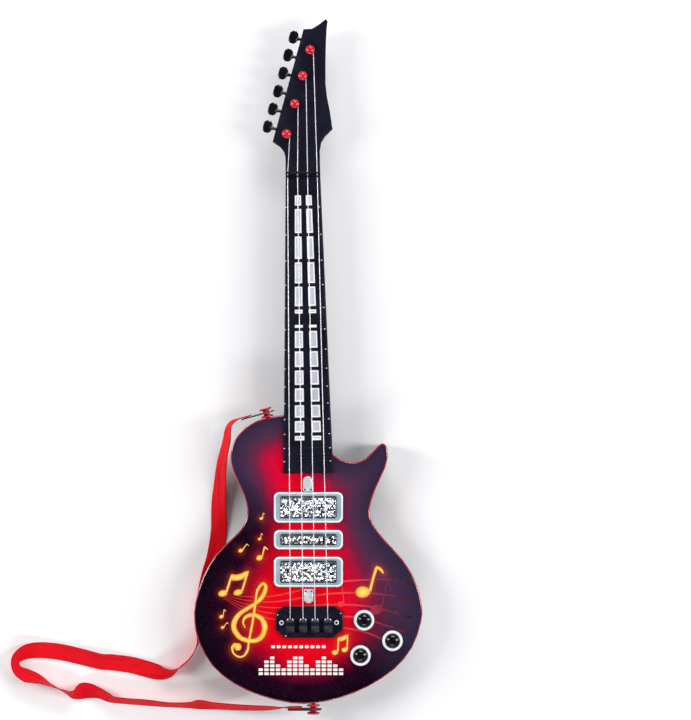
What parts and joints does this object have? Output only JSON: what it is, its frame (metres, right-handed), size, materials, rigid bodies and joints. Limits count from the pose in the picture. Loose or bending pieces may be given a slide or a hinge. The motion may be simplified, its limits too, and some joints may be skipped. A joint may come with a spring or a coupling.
{
  "type": "toy electric guitar",
  "caption": "Toy electric guitar with a lit fingerboard, sparkling pickups, push buttons, steel strings and a webbing strap.",
  "frame": {"origin": "on the flat back of the rear shell, on the body's middle line and midway along the body", "axes": "+X to the player's right in a view from the front with the headstock up, +Y along the neck to the headstock, +Z out of the face towards the strings"},
  "size_m": [0.3907, 0.6549, 0.0466],
  "materials": {
    "red_plastic": "glossy red moulding, printed on the face",
    "black_plastic": "satin black moulding with a navy tint",
    "gloss_black": "polished black",
    "chrome": "plated",
    "silver_plastic": "pale blue-grey with white edges",
    "clear_plastic": "clear, faceted",
    "milky_plastic": "translucent white, finely ribbed",
    "steel": "drawn wire and plated screws",
    "circuit_board": "green solder mask",
    "silicone": "matt grey",
    "speaker_black": "matt black",
    "cell_wrap": "plain wrapped cell",
    "webbing": "red woven webbing",
    "vinyl": "soft black vinyl"
  },
  "bodies": {
    "guitar": {"front_shell": "red_plastic", "strap_button_upper": "red_plastic", "strap_button_lower": "red_plastic", "rear_shell": "black_plastic", "neck_rear": "black_plastic", "fingerboard": "black_plastic", "nut": "black_plastic", "bridge": "black_plastic", "button_ring_1": "chrome", "button_ring_2": "chrome", "button_ring_3": "chrome", "pickup_bezel_1": "silver_plastic", "pickup_bezel_2": "silver_plastic", "pickup_bezel_3": "silver_plastic", "ir_emitter_pod": "clear_plastic", "ir_receiver_pod": "clear_plastic", "pickup_lens_1": "clear_plastic", "pickup_lens_2": "clear_plastic", "pickup_lens_3": "clear_plastic", "light_guide_upper": "milky_plastic", "light_guide_lower": "milky_plastic", "bridge_screw_left": "steel", "bridge_screw_right": "steel", "battery_spring_contact": "steel", "battery_flat_contact": "steel", "string_1": "steel", "string_2": "steel", "string_3": "steel", "string_4": "steel", "shell_screw_1": "steel", "shell_screw_2": "steel", "shell_screw_3": "steel", "shell_screw_4": "steel", "neck_led_board": "circuit_board", "pickup_led_board": "circuit_board", "main_board": "circuit_board", "button_dome_mat": "silicone", "speaker": "speaker_black", "battery_cell_1": "cell_wrap", "battery_cell_2": "cell_wrap", "battery_cell_3": "cell_wrap", "strap": "webbing", "strap_tab_upper": "vinyl", "strap_tab_lower": "vinyl"},
    "button_1": {"button_cap_1": "gloss_black"},
    "button_2": {"button_cap_2": "gloss_black"},
    "button_3": {"button_cap_3": "gloss_black"},
    "battery_door": {"battery_door": "black_plastic", "battery_door_screw": "steel"},
    "power_switch": {"power_switch": "gloss_black"},
    "tuner_1": {"tuner_key_1": "black_plastic"},
    "tuner_2": {"tuner_key_2": "black_plastic"},
    "tuner_3": {"tuner_key_3": "black_plastic"},
    "tuner_4": {"tuner_key_4": "black_plastic"},
    "tuner_5": {"tuner_key_5": "black_plastic"},
    "tuner_6": {"tuner_key_6": "black_plastic"},
    "post_1": {"string_post_1": "red_plastic"},
    "post_2": {"string_post_2": "red_plastic"},
    "post_3": {"string_post_3": "red_plastic"},
    "post_4": {"string_post_4": "red_plastic"}
  },
  "joints": [
    {"name": "button_1_press", "type": "slide", "parent": "guitar", "child": "button_1", "axis": [0, 0, -1], "range_m": [0, 0.0015], "stiffness_N_per_m": 200, "springref_m": -0.001},
    {"name": "button_2_press", "type": "slide", "parent": "guitar", "child": "button_2", "axis": [0, 0, -1], "range_m": [0, 0.0015], "stiffness_N_per_m": 200, "springref_m": -0.001},
    {"name": "button_3_press", "type": "slide", "parent": "guitar", "child": "button_3", "axis": [0, 0, -1], "range_m": [0, 0.0015], "stiffness_N_per_m": 200, "springref_m": -0.001},
    {"name": "battery_door_hinge", "type": "hinge", "parent": "guitar", "child": "battery_door", "pos_m": [0, -0.0174, 0.0003], "axis": [1, 0, 0], "range_deg": [0, 100]},
    {"name": "power_switch_slide", "type": "slide", "parent": "guitar", "child": "power_switch", "axis": [1, 0, 0], "range_m": [0, 0.004]},
    {"name": "tuner_1_turn", "type": "hinge", "parent": "guitar", "child": "tuner_1", "pos_m": [-0.0142, 0.49281, 0.03085], "axis": [-0.9593, 0.2823, 0], "continuous": true},
    {"name": "tuner_2_turn", "type": "hinge", "parent": "guitar", "child": "tuner_2", "pos_m": [-0.01929, 0.47591, 0.03085], "axis": [-0.9593, 0.2823, 0], "continuous": true},
    {"name": "tuner_3_turn", "type": "hinge", "parent": "guitar", "child": "tuner_3", "pos_m": [-0.02407, 0.45902, 0.03085], "axis": [-0.9593, 0.2823, 0], "continuous": true},
    {"name": "tuner_4_turn", "type": "hinge", "parent": "guitar", "child": "tuner_4", "pos_m": [-0.02886, 0.44193, 0.03085], "axis": [-0.9593, 0.2823, 0], "continuous": true},
    {"name": "tuner_5_turn", "type": "hinge", "parent": "guitar", "child": "tuner_5", "pos_m": [-0.03375, 0.42513, 0.03085], "axis": [-0.9593, 0.2823, 0], "continuous": true},
    {"name": "tuner_6_turn", "type": "hinge", "parent": "guitar", "child": "tuner_6", "pos_m": [-0.03864, 0.40854, 0.03085], "axis": [-0.9593, 0.2823, 0], "continuous": true},
    {"name": "post_1_turn", "type": "hinge", "parent": "guitar", "child": "post_1", "pos_m": [-0.0205, 0.40087, 0.036], "axis": [0, 0, 1], "range_deg": [-180, 180]},
    {"name": "post_2_turn", "type": "hinge", "parent": "guitar", "child": "post_2", "pos_m": [-0.01282, 0.42922, 0.036], "axis": [0, 0, 1], "range_deg": [-180, 180]},
    {"name": "post_3_turn", "type": "hinge", "parent": "guitar", "child": "post_3", "pos_m": [-0.0054, 0.45546, 0.036], "axis": [0, 0, 1], "range_deg": [-180, 180]},
    {"name": "post_4_turn", "type": "hinge", "parent": "guitar", "child": "post_4", "pos_m": [0.00154, 0.4799, 0.036], "axis": [0, 0, 1], "range_deg": [-180, 180]}
  ]
}
